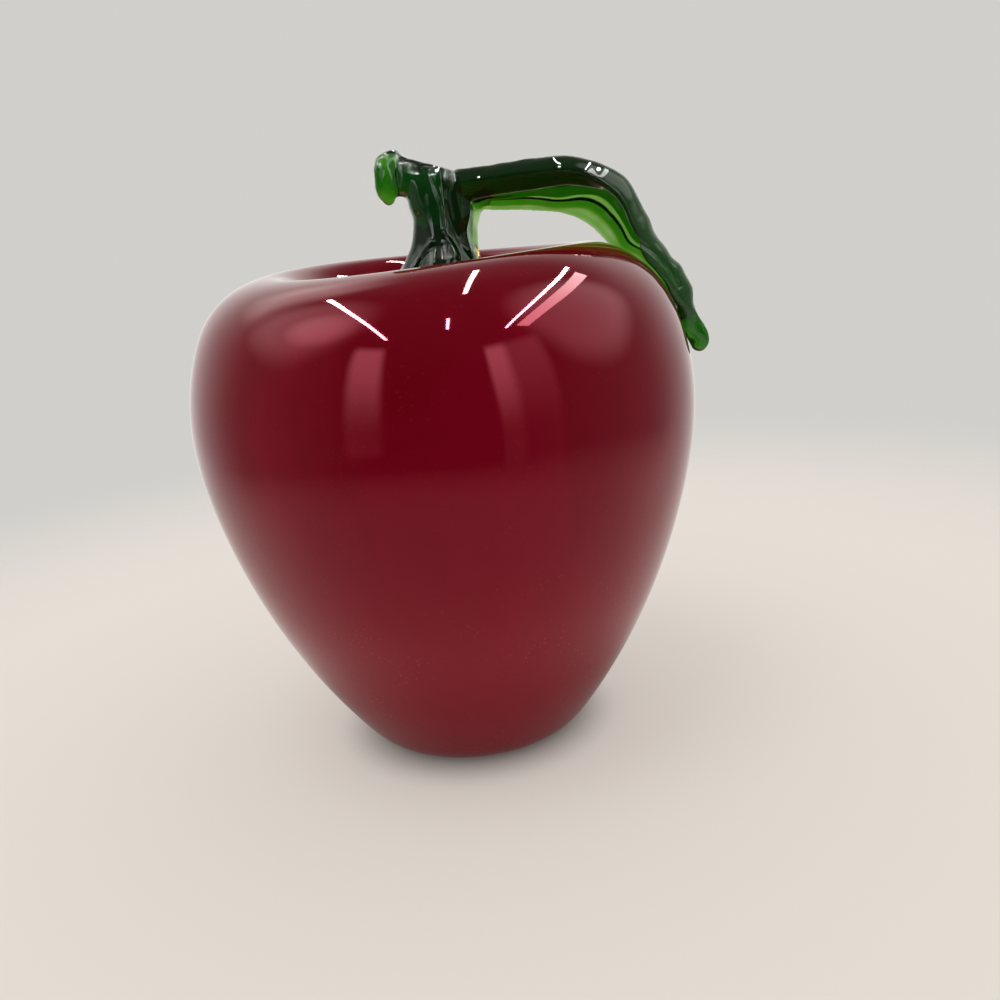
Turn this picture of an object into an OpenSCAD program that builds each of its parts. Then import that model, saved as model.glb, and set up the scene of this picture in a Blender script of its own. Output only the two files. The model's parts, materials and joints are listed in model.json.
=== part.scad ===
// Art glass apple: a blown, cased red apple that stands on its ground base, with a dark green
// stem whose foot closes the blow hole, and a green leaf that climbs the stem, arches over the
// dimple and lies on the right shoulder. Millimetres, +Z up, origin at the centre of the base.

/* [Apple outline] */
// Widest diameter of the apple
body_d = 130; // [120:1:142]
// Height of the apple from its base to the top of the lip
body_h = 128.3; // [122:0.1:133]
// Radius of the corner that rounds the flank into the ground base
corner_r = 10.5; // [8:0.5:14]
// Radius of the belly below its widest line
low_belly_r = 75; // [66:1:90]
// Radius of the belly above its widest line
high_belly_r = 58; // [50:1:62]
// Radius of the shoulder
shoulder_r = 24; // [20:1:28]
// Radius of the lip that rolls over into the dimple
lip_r = 9; // [7.5:0.5:11]
// Angle under the widest line at which the belly becomes the flank
flank_a = 10.5; // [8:0.5:14]
// Angle under the widest line at which the flank becomes the corner
corner_a = 37.5; // [34:0.5:41]
// Angle over the widest line at which the belly becomes the shoulder
shoulder_a = 24.5; // [20:0.5:28]
// Angle over the widest line at which the shoulder becomes the lip
lip_a = 82.5; // [76:0.5:88]
// Angle over the widest line at which the lip becomes the dimple
dimple_a = 140; // [132:1:146]

/* [Glass layers] */
// Thickness of the clear casing, the last gather
casing_t = 1.6; // [1.2:0.1:2.2]
// Thickness of the red colour layer
red_t = 0.8; // [0.5:0.1:1.2]
// Thickness of the first bubble's wall at the belly
bubble_t = 2.6; // [1.8:0.1:3.4]
// Angle under the widest line where the inside leaves the flank for the round bottom of the bubble
bowl_a = 25; // [22:0.5:28]
// Diameter of the blow hole at the bottom of the dimple
hole_d = 15; // [12:0.5:18]

/* [Stem] */
// Distance of the post from the apple's axis, towards the leaf
post_x = 3; // [1.5:0.25:4]
// Diameter of the post at its neck
post_d = 12.4; // [11:0.2:14]
// Diameter of the foot on the dimple
foot_d = 34; // [30:1:38]
// Number of lobes pulled out of the foot
lobes = 5; // [3:1:7]
// Depth of the creases between the lobes
lobe_depth = 1.3; // [0:0.1:1.8]
// Height of the neck over the lip
neck_rise = 9; // [7.5:0.25:10.5]
// Height of the spur's middle over the lip
spur_rise = 20.8; // [19.5:0.1:22]
// Reach of the sheared spur from the post's middle
spur_reach = 14.3; // [13:0.1:16]
// Thickness of the spur where it leaves the post
spur_neck_d = 9.8; // [8.8:0.1:11]
// Diameter of the spur's sheared head
spur_d = 12.4; // [11:0.1:13.6]

/* [Leaf] */
// Distance from the post's middle to the seam between stem and leaf
seam_x = 2; // [1:0.25:3]
// Height of the leaf's top over the lip, at its arch
arch_rise = 22; // [20.5:0.25:24]
// Width of the leaf, from its front edge to its rear edge
leaf_w = 23; // [20:0.5:26]
// Distance of the leaf's middle line behind the apple's middle plane
leaf_y = 1.5; // [0:0.25:3]
// Thickness of the rolled front rib over the dimple
rib_t = 7.8; // [6.5:0.1:8.6]
// Thickness of the blade
blade_t = 2.4; // [1.8:0.1:3]
// Height of the blade's crest over the shoulder
crest_h = 5.5; // [4.8:0.1:6.5]
// Thickness of the tip
tip_t = 5.4; // [4.4:0.1:6]
// Angle over the widest line at which the tip ends
tip_a = 7; // [5:0.5:10]
// Number of ridges pressed along the blade
ridges = 3; // [2:1:4]
// Share of the blade's thickness that the ridges rise and fall
ridge_depth = 0.35; // [0.1:0.05:0.4]
// Number of crimps across the blade on the shoulder
crimps = 4; // [3:1:5]
// Height of a crimp
crimp_h = 0.5; // [0.2:0.1:0.8]

/* [Fit] */
// Gap that keeps fused gathers apart as solids of their own
fuse_gap = 0.05; // [0.03:0.01:0.1]
// Gap under the leaf's edges where they lie on the shoulder
rest_gap = 0.3; // [0.2:0.05:0.5]

/* [Hidden] */

// Steps of a round stretch of the outline, of a gather's section and between two stations
arc_steps = 9;
ring_points = 36;
station_steps = 4;
cut = 1;

// ---------------------------------------------------------------- outline of the apple

// Every stretch is an arc tangent to its neighbours, given by the angle of its outward normal.
// A depth t goes in under the skin: round stretches lose it, the hollow dimple gains it.
function polar(r, a) = [r * cos(a), r * sin(a)];
function arc(centre, r, a0, a1) =
    [for (i = [0 : arc_steps]) centre + polar(r, a0 + (a1 - a0) * i / arc_steps)];

// The flank takes the radius that brings the lip to its height.
belly_z = body_h - lip_r - (high_belly_r - shoulder_r) * sin(shoulder_a)
        - (shoulder_r - lip_r) * sin(lip_a);
flank_r = (belly_z - low_belly_r * sin(flank_a) - corner_r * (1 - sin(corner_a)))
        / (sin(corner_a) - sin(flank_a));
low_belly_c = [body_d / 2 - low_belly_r, belly_z];
high_belly_c = [body_d / 2 - high_belly_r, belly_z];
flank_c = low_belly_c + polar(low_belly_r - flank_r, -flank_a);
corner_c = flank_c + polar(flank_r - corner_r, -corner_a);
shoulder_c = high_belly_c + polar(high_belly_r - shoulder_r, shoulder_a);
lip_c = shoulder_c + polar(shoulder_r - lip_r, lip_a);
lip_end = lip_c + polar(lip_r, dimple_a);

// The dimple is part of a sphere whose middle lies on the axis
dimple_r = lip_end[0] / sin(dimple_a - 90);
dimple_c = [0, lip_end[1] + dimple_r * cos(dimple_a - 90)];

function dimple(t) =
    [for (i = [1 : arc_steps]) let (a = dimple_a + (90 - dimple_a) * i / arc_steps)
        i < arc_steps ? dimple_c - polar(dimple_r + t, a) : [0, dimple_c[1] - dimple_r - t]];

function over_belly(t) = concat(
    arc(high_belly_c, high_belly_r - t, 0, shoulder_a),
    arc(shoulder_c, shoulder_r - t, shoulder_a, lip_a),
    arc(lip_c, lip_r - t, lip_a, dimple_a),
    dimple(t));

// Outline of the skin at depth t, from the middle of the base up to the middle of the dimple
function skin(t) = concat(
    [[0, t]],
    arc(corner_c, corner_r - t, -90, -corner_a),
    arc(flank_c, flank_r - t, -corner_a, -flank_a),
    arc(low_belly_c, low_belly_r - t, -flank_a, 0),
    over_belly(t));

// Outline of the hollow: its bottom is a round bowl, so the glass is thick over the base
wall_t = casing_t + red_t + bubble_t;
bowl_top = flank_c + polar(flank_r - wall_t, -bowl_a);
bowl_r = bowl_top[0] / cos(bowl_a);
bowl_c = [0, bowl_top[1] + bowl_r * sin(bowl_a)];
hollow = concat(
    [[0, bowl_c[1] - bowl_r]],
    [for (i = [1 : 2 * arc_steps]) bowl_c + polar(bowl_r, -90 + (90 - bowl_a) * i / (2 * arc_steps))],
    arc(flank_c, flank_r - wall_t, -bowl_a, -flank_a),
    arc(low_belly_c, low_belly_r - wall_t, -flank_a, 0),
    over_belly(wall_t));

// Height of the dimple's surface at a distance r from the axis
function dimple_z(r) = dimple_c[1] - sqrt(dimple_r * dimple_r - r * r);

module shell_between(outer, inner) {
    difference() {
        rotate_extrude($fn = 120)
            polygon(concat(outer, [for (i = [len(inner) - 1 : -1 : 0]) inner[i]]));
        translate([0, 0, dimple_z(0) - wall_t - cut])
            cylinder(d = hole_d, h = wall_t + dimple_z(hole_d / 2) - dimple_z(0) + 2 * cut, $fn = 60);
    }
}

// ---------------------------------------------------------------- lofts

function unit(v) = v / norm(v);
function between(p0, p1, p2, p3, t) = 0.5 * (2 * p1 + (p2 - p0) * t
    + (2 * p0 - 5 * p1 + 4 * p2 - p3) * t * t
    + (3 * p1 - p0 - 3 * p2 + p3) * t * t * t);

// A smooth run through rows of numbers, with the given steps from row to row
function smooth_rows(rows, steps) = let (last = len(rows) - 1) concat(
    [for (i = [0 : last - 1], j = [0 : steps - 1])
        between(rows[max(i - 1, 0)], rows[i], rows[i + 1], rows[min(i + 2, last)], j / steps)],
    [rows[last]]);

// Closed skin over rings of n points. Each end is closed across the ring, from side to side.
module loft(rings) {
    n = len(rings[0]);
    last = len(rings) - 1;
    walls = [for (i = [0 : last - 1], k = [0 : n - 1]) let (
            a = i * n + k, b = i * n + (k + 1) % n, c = b + n, d = a + n)
        each [[a, b, c], [a, c, d]]];
    caps = [for (k = [0 : n / 2 - 1]) let (
            a = (n - k) % n, b = n - k - 1, c = k + 1, d = k, top = last * n)
        each [[d, a, b], [d, b, c], [top + d, top + b, top + a], [top + d, top + c, top + b]]];
    points = [for (ring = rings) each ring];
    faces = [for (f = concat(walls, caps)) if (f[0] != f[1] && f[1] != f[2] && f[2] != f[0]) f];
    polyhedron(points, faces);
}

// ---------------------------------------------------------------- stem

plug_r = hole_d / 2 - fuse_gap;
foot_r = foot_d / 2;
post_r = post_d / 2;
spur_z = body_h + spur_rise;
neck_z = body_h + neck_rise;
ledge_z = dimple_z(foot_r) + 4;
seam = post_x + seam_x;

// A round of the stem: middle x, middle z, turn from upright towards the spur, half width, half
// depth and the share of the creases' depth that it has. One lobe points to the front.
function stem_ring(row, seamed) = [for (k = [0 : ring_points - 1]) let (
        u = 360 * k / ring_points,
        crease = row[5] * lobe_depth * (abs(cos(lobes * (u - 90) / 2)) - 1),
        wide = row[3] + crease,
        x = row[0] + wide * cos(u) * cos(row[2]),
        z = row[1] + wide * cos(u) * sin(row[2]))
    [seamed ? min(x, seam) : x, -(row[4] + crease) * sin(u), z]];

foot_under = [for (i = [0 : 4]) let (r = plug_r + (foot_r - plug_r) * i / 4)
    [0, dimple_z(r) + fuse_gap, 0, r, r, 0]];
foot_top = smooth_rows([
    [0, dimple_z(foot_r) + fuse_gap, 0, foot_r, foot_r, 0],
    [0.1, dimple_z(foot_r) + 1.2, 0, foot_r + 0.3, foot_r + 0.3, 0],
    [0.1 * post_x, ledge_z - 1.6, 0, foot_r - 0.8, foot_r - 0.8, 0.4],
    [0.2 * post_x, ledge_z, 0, foot_r - 2.4, foot_r - 2.4, 0.8]], 3);
post = smooth_rows([
    [0.2 * post_x, ledge_z, 0, foot_r - 2.4, foot_r - 2.4, 0.8],
    [0.6 * post_x, body_h - 7, 0, post_r + 6.2, post_r + 6.4, 1],
    [0.9 * post_x, body_h - 1.6, 0, post_r + 3.8, post_r + 4.2, 1],
    [post_x, body_h + 3.4, 0, post_r + 1.3, post_r + 1.7, 0.6],
    [post_x, neck_z, 0, post_r, post_r, 0],
    [post_x - 0.8, spur_z - 6.8, 20, post_r + 0.1, post_r, 0],
    [post_x - 3.6, spur_z - 2.6, 50, post_r - 0.2, post_r - 0.4, 0],
    [post_x - 7.6, spur_z - 0.3, 74, spur_neck_d / 2, spur_neck_d / 2, 0],
    [post_x - spur_reach + 4, spur_z, 84, spur_d / 2, spur_d / 2 - 0.3, 0],
    [post_x - spur_reach + 1.3, spur_z - 0.2, 86, spur_d / 2 - 0.4, spur_d / 2 - 0.7, 0],
    [post_x - spur_reach, spur_z - 0.3, 86, spur_d / 2 - 2, spur_d / 2 - 2.4, 0]], 3);

stem_rings = concat(
    [stem_ring([0, dimple_z(0) - wall_t, 0, plug_r, plug_r, 0], false)],
    [for (row = foot_under) stem_ring(row, false)],
    [for (i = [1 : len(foot_top) - 1]) stem_ring(foot_top[i], false)],
    [for (row = post) stem_ring(row, true)]);

// ---------------------------------------------------------------- leaf

// Half width of the blade, and the point of the skin at normal angle a, at a height h over it and
// a distance y from the middle plane
half_w = leaf_w / 2;
function skin_at(a, h) = a > shoulder_a
    ? shoulder_c + polar(shoulder_r + h, a)
    : high_belly_c + polar(high_belly_r + h, a);
function over_skin(a, h, y) = let (p = skin_at(a, h)) [sqrt(p[0] * p[0] - y * y), y, p[1]];

// Each station holds the front edge, the crest, the rear edge, and the half thicknesses of the
// front rib and of the blade. The root climbs the seam, the arch spans to the shoulder.
arch_z = body_h + arch_rise - rib_t / 2;
land = skin_at(60, crest_h);
span = land[0] - post_x;
edge_h = rest_gap + 0.6;
rib = rib_t / 2;
blade = blade_t / 2;
tip = tip_t / 2;
tip_h = tip + rest_gap;

function root_station(z, front, crest, rear, depth, thick) = [
    [post_x + front, -depth, z],
    [post_x + crest, 0.6, z],
    [post_x + rear, depth + 2, z], [thick, blade, 0]];
function arch_station(along, drops, width, thick) = let (x = post_x + along * span) [
    [x, leaf_y - half_w * width, arch_z - drops[0]],
    [x + 0.5, leaf_y, arch_z - drops[1]],
    [x, leaf_y + half_w * width, arch_z - drops[2]], [thick, blade, 0]];
function shoulder_station(a, heights, width, thick, middle) = [
    over_skin(a, heights[0], leaf_y - half_w * width),
    over_skin(a, heights[1], leaf_y),
    over_skin(a, heights[2], leaf_y + half_w * width), [thick, middle, 0]];

root = [
    root_station(ledge_z + fuse_gap, 5, 8, 10.5, 6.5, 4.4),
    root_station(body_h - 1.6, 3.6, 6.4, 9.6, 5.4, 3.7),
    root_station(neck_z - 4, 3.2, 6, 9.2, 4.8, 3.2),
    root_station(arch_z - 6.6, 3.4, 6, 9.2, 5.6, 3.5)];
arch = [
    [[post_x + 4.4, -6.8, arch_z - 0.8], [post_x + 6.8, 1, arch_z - 2.8], [post_x + 10.4, 8.6, arch_z - 7.2],
     [rib, blade, 0]],
    arch_station(0.29, [0.3, 2.3, 7.8], 0.8, rib),
    arch_station(0.51, [0, 1.9, 9], 0.94, rib),
    arch_station(0.70, [0.8, 2.2, 10.9], 1, rib - 0.3)];
shoulder = [
    shoulder_station(74, [crest_h + 6.7, crest_h + 9, crest_h - 1], 1, rib - 1, blade),
    shoulder_station(62, [crest_h + 0.2, crest_h + 4, edge_h + 0.9], 0.98, 2.5, blade),
    shoulder_station(50, [edge_h + 0.6, crest_h + 1.2, edge_h], 0.92, 2.1, blade),
    shoulder_station(39, [edge_h, crest_h, edge_h], 0.82, 1.9, blade),
    shoulder_station(28, [edge_h, crest_h + 0.7, edge_h], 0.68, 1.8, blade + 0.2),
    shoulder_station(19, [edge_h, crest_h + 0.6, edge_h], 0.52, 1.8, blade + 0.5),
    shoulder_station(14, [edge_h + 0.8, crest_h - 1.2, edge_h + 0.8], 0.4, tip - 0.7, tip - 0.7),
    shoulder_station(tip_a + 2.3, [tip_h, crest_h - 1, tip_h], 0.34, tip, tip),
    shoulder_station(tip_a + 0.5, [tip_h, crest_h - 1.3, tip_h], 0.24, tip - 0.8, tip - 0.8),
    shoulder_station(tip_a, [crest_h - 1.8, crest_h - 1.6, crest_h - 1.8], 0.09, 0.8, 0.8)];

leaf_rows = smooth_rows(concat(root, arch, shoulder), station_steps);

// Half thickness over the width: a rolled rib near the front edge, ridges over the rest
function bell(v) = exp(-v * v);
function half_thickness(v, row) = let (b = bell((v + 0.6) / 0.42))
    (row[3][1] * (1 + ridge_depth * (1 - b) * cos(180 * ridges * (v + 1))) + (row[3][0] - row[3][1]) * b)
    * sqrt(max(0, 1 - pow(v, 6)));

// Crimps pressed across the blade, from its landing to the tip's neck
first_crimp = station_steps * (len(root) + len(arch));
last_crimp = first_crimp + station_steps * 5;
function crimp(i) = i < first_crimp || i > last_crimp ? 0
    : crimp_h * (cos(360 * crimps * (i - first_crimp) / (last_crimp - first_crimp)) - 1) / 2;

function leaf_ring(i) = let (
        row = leaf_rows[i],
        ahead = unit(leaf_rows[min(i + 1, len(leaf_rows) - 1)][1] - leaf_rows[max(i - 1, 0)][1]))
    [for (k = [0 : ring_points - 1]) let (
            side = k < ring_points / 2 ? 1 : -1,
            v = -cos(360 * k / ring_points),
            mid = row[0] * v * (v - 1) / 2 + row[1] * (1 - v * v) + row[2] * v * (v + 1) / 2,
            across = row[0] * (v - 0.5) - row[1] * 2 * v + row[2] * (v + 0.5),
            out = side * half_thickness(v, row) + crimp(i) * (1 - v * v),
            p = mid + out * unit(cross(ahead, across)))
        [max(p[0], seam + fuse_gap), p[1], i < station_steps ? max(p[2], ledge_z + fuse_gap) : p[2]]];

// ---------------------------------------------------------------- pieces

module clear_casing() {
    color([0.62, 0.05, 0.12, 0.45])
        shell_between(skin(0), skin(casing_t));
}

module red_layer() {
    color([0.48, 0.01, 0.06])
        shell_between(skin(casing_t), skin(casing_t + red_t));
}

module inner_bubble() {
    color([0.86, 0.80, 0.80])
        shell_between(skin(casing_t + red_t), hollow);
}

module stem() {
    color([0.05, 0.20, 0.07])
        loft(stem_rings);
}

module leaf() {
    color([0.16, 0.45, 0.12])
        loft([for (i = [0 : len(leaf_rows) - 1]) leaf_ring(i)]);
}

clear_casing();
red_layer();
inner_bubble();
stem();
leaf();
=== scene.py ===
# %% [markdown]
# # A glass apple: from solids to glass
#
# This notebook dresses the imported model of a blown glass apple. The real one is made hot: a red
# bubble cased in clear glass, a dark green stem whose foot closes the blow hole, and a green leaf
# that climbs the stem, arches over the dimple and lies on the right shoulder. The solids carry the
# sizes; here the same sizes make smooth, slightly uneven glass, and the looks are worked out.

import json
import math

import bpy
import numpy as np
from mathutils import Matrix, Vector, noise

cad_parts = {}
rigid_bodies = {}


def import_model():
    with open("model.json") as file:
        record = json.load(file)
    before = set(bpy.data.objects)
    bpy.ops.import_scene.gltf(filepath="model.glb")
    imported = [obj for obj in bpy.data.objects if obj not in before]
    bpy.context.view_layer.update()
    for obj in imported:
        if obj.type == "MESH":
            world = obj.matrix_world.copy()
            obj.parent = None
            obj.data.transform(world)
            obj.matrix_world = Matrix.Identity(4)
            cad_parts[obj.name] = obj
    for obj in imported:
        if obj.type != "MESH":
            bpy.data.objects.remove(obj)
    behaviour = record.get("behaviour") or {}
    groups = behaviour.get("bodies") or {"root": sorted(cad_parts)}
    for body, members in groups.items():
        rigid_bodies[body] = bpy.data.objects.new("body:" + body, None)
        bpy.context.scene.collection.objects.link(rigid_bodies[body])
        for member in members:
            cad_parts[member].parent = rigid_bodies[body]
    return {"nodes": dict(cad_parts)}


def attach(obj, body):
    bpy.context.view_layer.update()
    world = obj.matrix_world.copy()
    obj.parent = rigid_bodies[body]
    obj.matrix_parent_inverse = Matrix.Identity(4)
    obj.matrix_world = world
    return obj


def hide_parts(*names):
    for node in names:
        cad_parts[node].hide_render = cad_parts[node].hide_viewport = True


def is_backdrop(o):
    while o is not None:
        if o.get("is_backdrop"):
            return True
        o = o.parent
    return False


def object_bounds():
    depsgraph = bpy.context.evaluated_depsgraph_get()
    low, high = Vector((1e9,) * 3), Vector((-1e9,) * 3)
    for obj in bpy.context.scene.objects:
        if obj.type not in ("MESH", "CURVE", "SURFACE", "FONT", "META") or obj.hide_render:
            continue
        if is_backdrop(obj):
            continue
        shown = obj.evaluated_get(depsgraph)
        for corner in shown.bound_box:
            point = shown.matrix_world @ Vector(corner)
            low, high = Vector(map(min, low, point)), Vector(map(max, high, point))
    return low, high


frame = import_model()
cad_box = [list(map(float, corner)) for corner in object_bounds()]
MM = 0.001
print("solids:", ", ".join(sorted(frame["nodes"])))
print("box in mm:", [[round(v / MM, 2) for v in corner] for corner in cad_box])

# %% [markdown]
# ## Camera
#
# The view was fitted to the outline of the body. It is a close view from a little above the lip,
# turned slightly to the left and rolled clockwise, through a lens as long as the picture is wide.
# A camera looks along its own -Z axis, so the columns of its matrix are right, up and backwards.

# %% Camera
CAMERA_AT = Vector((0.0, -0.262688, 0.138156))
YAW, PITCH, ROLL = (math.radians(a) for a in (2.597, 16.044, 5.619))
SENSOR = 36.0

ahead = Vector((math.sin(YAW) * math.cos(PITCH), math.cos(YAW) * math.cos(PITCH), -math.sin(PITCH)))
level_right = Vector((math.cos(YAW), -math.sin(YAW), 0.0))
level_up = level_right.cross(ahead)
right = level_right * math.cos(ROLL) - level_up * math.sin(ROLL)
up = level_up * math.cos(ROLL) + level_right * math.sin(ROLL)

lens = bpy.data.cameras.new("photo_view")
lens.sensor_width = SENSOR
lens.lens = SENSOR
lens.clip_start = 0.01
camera = bpy.data.objects.new("photo_view", lens)
turned = Matrix((right, up, -ahead)).transposed().to_4x4()
camera.matrix_world = Matrix.Translation(CAMERA_AT) @ turned
bpy.context.collection.objects.link(camera)
bpy.context.scene.camera = camera
print("camera looks along", [round(v, 4) for v in ahead])

# %% [markdown]
# ## The outline of the apple
#
# A glassblower's apple is round about its axis, so one outline says it all: a ground base, a
# corner, a long flank, the belly, the shoulder, the lip and the hollow dimple. In the solids these
# are arcs that share their tangents. In a mirror-like surface the eye sees where one arc's
# curvature jumps to the next, so here the curvature is written down along the outline, smoothed,
# and added up again: first to a direction, then to points. The slow drift that this brings is
# taken out again, so that the outline stays within a fraction of a millimetre of the arcs.

# %% Sizes of the outline, in millimetres
BODY_D, BODY_H = 130.0, 128.3
CORNER_R, LOW_BELLY_R, HIGH_BELLY_R, SHOULDER_R, LIP_R = 10.5, 75.0, 58.0, 24.0, 9.0
FLANK_A, CORNER_A, SHOULDER_A, LIP_A, DIMPLE_A = 10.5, 37.5, 24.5, 82.5, 140.0


def sin(a):
    return math.sin(math.radians(a))


def cos(a):
    return math.cos(math.radians(a))


def polar(r, a):
    return np.array([r * cos(a), r * sin(a)])


belly_z = (
    BODY_H
    - LIP_R
    - (HIGH_BELLY_R - SHOULDER_R) * sin(SHOULDER_A)
    - (SHOULDER_R - LIP_R) * sin(LIP_A)
)
flank_r = (belly_z - LOW_BELLY_R * sin(FLANK_A) - CORNER_R * (1 - sin(CORNER_A))) / (
    sin(CORNER_A) - sin(FLANK_A)
)
low_belly_c = np.array([BODY_D / 2 - LOW_BELLY_R, belly_z])
high_belly_c = np.array([BODY_D / 2 - HIGH_BELLY_R, belly_z])
flank_c = low_belly_c + polar(LOW_BELLY_R - flank_r, -FLANK_A)
corner_c = flank_c + polar(flank_r - CORNER_R, -CORNER_A)
shoulder_c = high_belly_c + polar(HIGH_BELLY_R - SHOULDER_R, SHOULDER_A)
lip_c = shoulder_c + polar(SHOULDER_R - LIP_R, LIP_A)
lip_end = lip_c + polar(LIP_R, DIMPLE_A)
dimple_r = lip_end[0] / sin(DIMPLE_A - 90)
dimple_c_z = lip_end[1] + dimple_r * cos(DIMPLE_A - 90)


def dimple_z(r):
    return dimple_c_z - math.sqrt(dimple_r**2 - r**2)


print("belly at", round(belly_z, 2), "mm, dimple's bottom at", round(dimple_z(0), 2), "mm")

# %% A smooth outline by its curvature
STEP = 0.02  # millimetres per step of the sum
KEEP = 12  # one point in so many is kept
SOFTEN = 2.4  # millimetres over which the curvature of neighbouring arcs is blended
DRIFT = 4 * SOFTEN  # millimetres over which the slow drift is measured


def smooth_outline():
    runs = [(corner_c[0], 0.0)]
    for r, a0, a1 in (
        (CORNER_R, -90, -CORNER_A),
        (flank_r, -CORNER_A, -FLANK_A),
        (LOW_BELLY_R, -FLANK_A, 0),
        (HIGH_BELLY_R, 0, SHOULDER_A),
        (SHOULDER_R, SHOULDER_A, LIP_A),
        (LIP_R, LIP_A, DIMPLE_A),
    ):
        runs.append((r * math.radians(a1 - a0), 1 / r))
    runs.append((dimple_r * math.radians(DIMPLE_A - 90), -1 / dimple_r))
    ends = np.cumsum([length for length, _ in runs])
    count = int(round(ends[-1] / STEP))
    step = ends[-1] / count
    middle = (np.arange(count) + 0.5) * step
    bend = np.array([runs[min(np.searchsorted(ends, s), len(runs) - 1)][1] for s in middle])

    def blurred(values, width):
        reach = int(4 * width / step)
        kernel = np.exp(-0.5 * (np.arange(-reach, reach + 1) * step / width) ** 2)
        return np.convolve(np.pad(values, reach, mode="edge"), kernel / kernel.sum(), mode="valid")

    def added_up(bend):
        turn = np.concatenate([[0.0], np.cumsum(bend * step)])
        way = (turn[:-1] + turn[1:]) / 2
        points = np.stack([np.cos(way) * step, np.sin(way) * step], axis=1)
        return np.concatenate([[[0.0, 0.0]], np.cumsum(points, axis=0)])

    sharp, soft = added_up(bend), added_up(blurred(bend, SOFTEN))
    drift = np.stack([blurred((sharp - soft)[:, axis], DRIFT) for axis in (0, 1)], axis=1)
    r, z = (soft + drift).T
    r = (r - r[0]) - (r[-1] - r[0]) * np.clip(np.linspace(-1, 1, count + 1), 0, 1)
    r *= min(1.0, BODY_D / 2 / r.max())
    z -= z[0]
    z *= BODY_H / z.max()
    kept = np.unique(np.append(np.arange(0, count + 1, KEEP), count))
    return r[kept], np.maximum(z, 0.0)[kept]


outline_r, outline_z = smooth_outline()
r_top = outline_r[outline_z.argmax()]
print("outline:", len(outline_r), "points, widest", round(2 * outline_r.max(), 2), "mm")
print("lip:", round(outline_z.max(), 2), "mm high, at radius", round(r_top, 2), "mm")

# %% [markdown]
# ## The red body
#
# A body that follows a rule is a good first tree of geometry nodes. The outline is a curve; the
# tree lays a flat grid of squares, takes one direction of the grid as the way along the curve and
# the other as the turn about the axis, and moves every point of the grid there. The seam and the
# two poles are welded afterwards. The lip of the real apple isn't quite level: at the front it is
# higher on the leaf's side, and one input leans it.

# %% A small helper for node trees


class Value:
    """One number inside a node tree; sums and products of it add Math nodes."""

    def __init__(self, nodes, socket):
        self.nodes, self.socket = nodes, socket

    def _with(self, operation, *others):
        return self.nodes.math(operation, self, *others)

    def __add__(self, other):
        return self._with("ADD", other)

    def __sub__(self, other):
        return self._with("SUBTRACT", other)

    def __mul__(self, other):
        return self._with("MULTIPLY", other)

    def __truediv__(self, other):
        return self._with("DIVIDE", other)

    def __radd__(self, other):
        return self.nodes.math("ADD", other, self)

    def __rsub__(self, other):
        return self.nodes.math("SUBTRACT", other, self)

    def clipped(self):
        return self.nodes.math("MINIMUM", self.nodes.math("MAXIMUM", self, 0.0), 1.0)

    def over(self, low, high):
        """0 below low, 1 above high, a smooth rise between."""
        settings = {"interpolation_type": "SMOOTHSTEP"}
        limits = {"From_Min": low, "From_Max": high}
        ramp = self.nodes.node("ShaderNodeMapRange", settings, Value=self, **limits)
        return Value(self.nodes, ramp.outputs[0])


class Nodes:
    """A node tree with one short way to add any node."""

    def __init__(self, tree):
        self.tree = tree

    def node(self, kind, settings=None, **values):
        """Add a node: its settings first, then its sockets by name, or by number as i0, i1, ..."""
        made = self.tree.nodes.new(kind)
        for key, value in (settings or {}).items():
            setattr(made, key, value)
        for key, value in values.items():
            numbered = key[0] == "i" and key[1:].isdigit()
            socket = made.inputs[int(key[1:]) if numbered else key.replace("_", " ")]
            if isinstance(value, Value):
                value = value.socket
            if isinstance(value, bpy.types.NodeSocket):
                self.tree.links.new(value, socket)
            else:
                socket.default_value = value
        return made

    def math(self, operation, *values):
        numbered = {f"i{k}": value for k, value in enumerate(values)}
        made = self.node("ShaderNodeMath", {"operation": operation}, **numbered)
        return Value(self, made.outputs[0])

    def parts(self, vector):
        """The three numbers of a vector."""
        made = self.node("ShaderNodeSeparateXYZ", Vector=vector)
        return [Value(self, out) for out in made.outputs]


# %% A tree that grows a mesh


class Grower(Nodes):
    """A geometry node tree with named inputs."""

    def __init__(self, name, inputs):
        super().__init__(bpy.data.node_groups.new(name, "GeometryNodeTree"))
        self.tree.is_modifier = True
        face = self.tree.interface
        face.new_socket("Geometry", in_out="INPUT", socket_type="NodeSocketGeometry")
        self.keys = {
            label: face.new_socket(label, in_out="INPUT", socket_type=kind).identifier
            for label, kind in inputs.items()
        }
        face.new_socket("Geometry", in_out="OUTPUT", socket_type="NodeSocketGeometry")
        self.inputs = self.tree.nodes.new("NodeGroupInput").outputs
        self.output = self.tree.nodes.new("NodeGroupOutput")

    def number(self, label):
        return Value(self, self.inputs[label])

    def finish(self, geometry, material):
        whole = self.node("GeometryNodeRealizeInstances", Geometry=geometry).outputs[0]
        dressed = self.node("GeometryNodeSetMaterial", Geometry=whole, Material=material).outputs[0]
        self.tree.links.new(dressed, self.output.inputs[0])


def plain_copy(base, name):
    """What an object's modifiers make of it, as a plain mesh on a new object at the origin."""
    seen = base.evaluated_get(bpy.context.evaluated_depsgraph_get())
    made = bpy.data.objects.new(name, bpy.data.meshes.new_from_object(seen))
    made.data.name = name
    bpy.context.collection.objects.link(made)
    return made


def grow(base, grower, values, name):
    """The plain mesh that a tree makes of an object."""
    modifier = base.modifiers.new("grow", "NODES")
    modifier.node_group = grower.tree
    for label, value in values.items():
        modifier[grower.keys[label]] = value
    made = plain_copy(base, name)
    base.modifiers.remove(modifier)
    return made


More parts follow.
